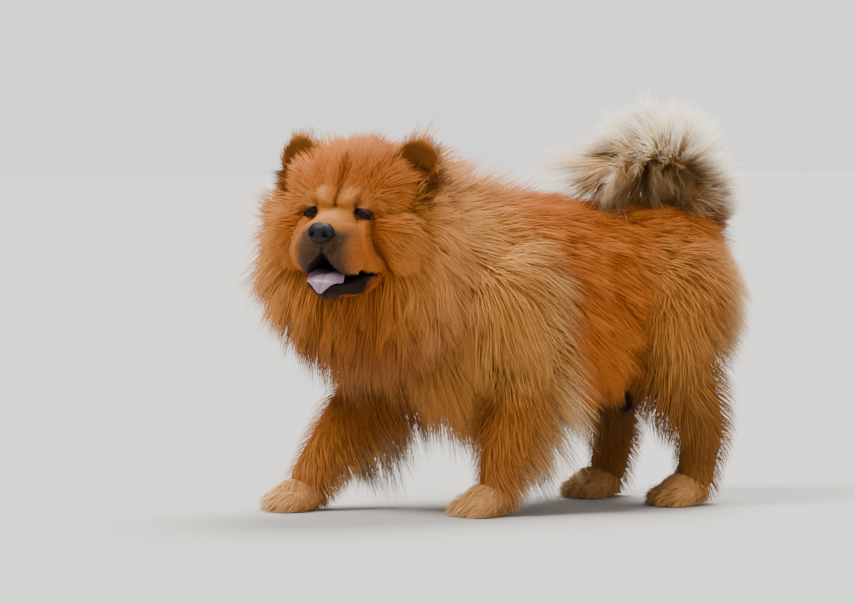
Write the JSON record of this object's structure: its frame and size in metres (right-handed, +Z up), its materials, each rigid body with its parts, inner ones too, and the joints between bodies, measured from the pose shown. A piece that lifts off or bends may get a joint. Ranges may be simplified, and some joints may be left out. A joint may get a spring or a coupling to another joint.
{
  "type": "life-size walking chow chow model",
  "caption": "Life-size still model of a chow chow dog walking, head turned to its left, mouth open, tail curled over the back, standing on flat paw soles.",
  "frame": {"origin": "middle of the base of the model's bounding box, on the floor plane that the four soles rest on", "axes": "+Z up, -Y the way the dog walks, +X the dog's left side"},
  "size_m": [0.482, 0.9134, 0.7243],
  "materials": {
    "coat_orange": "dense soft orange-red fur",
    "coat_ruff": "long fur, paler towards its tips",
    "coat_cream": "long cream fur",
    "nose_leather": "moist pebbled leather",
    "eye": "glossy dark brown",
    "tongue": "moist grey-lilac"
  },
  "bodies": {
    "root": {"torso": "coat_orange", "neck": "coat_ruff", "head": "coat_orange", "lower_jaw": "coat_orange", "tongue": "tongue", "nose": "nose_leather", "ear_left": "coat_orange", "ear_right": "coat_orange", "eye_left": "eye", "eye_right": "eye", "leg_fore_left": "coat_orange", "leg_fore_right": "coat_orange", "leg_hind_left": "coat_orange", "leg_hind_right": "coat_orange", "paw_fore_left": "coat_orange", "paw_fore_right": "coat_orange", "paw_hind_left": "coat_orange", "paw_hind_right": "coat_orange", "tail": "coat_cream"}
  },
  "joints": []
}
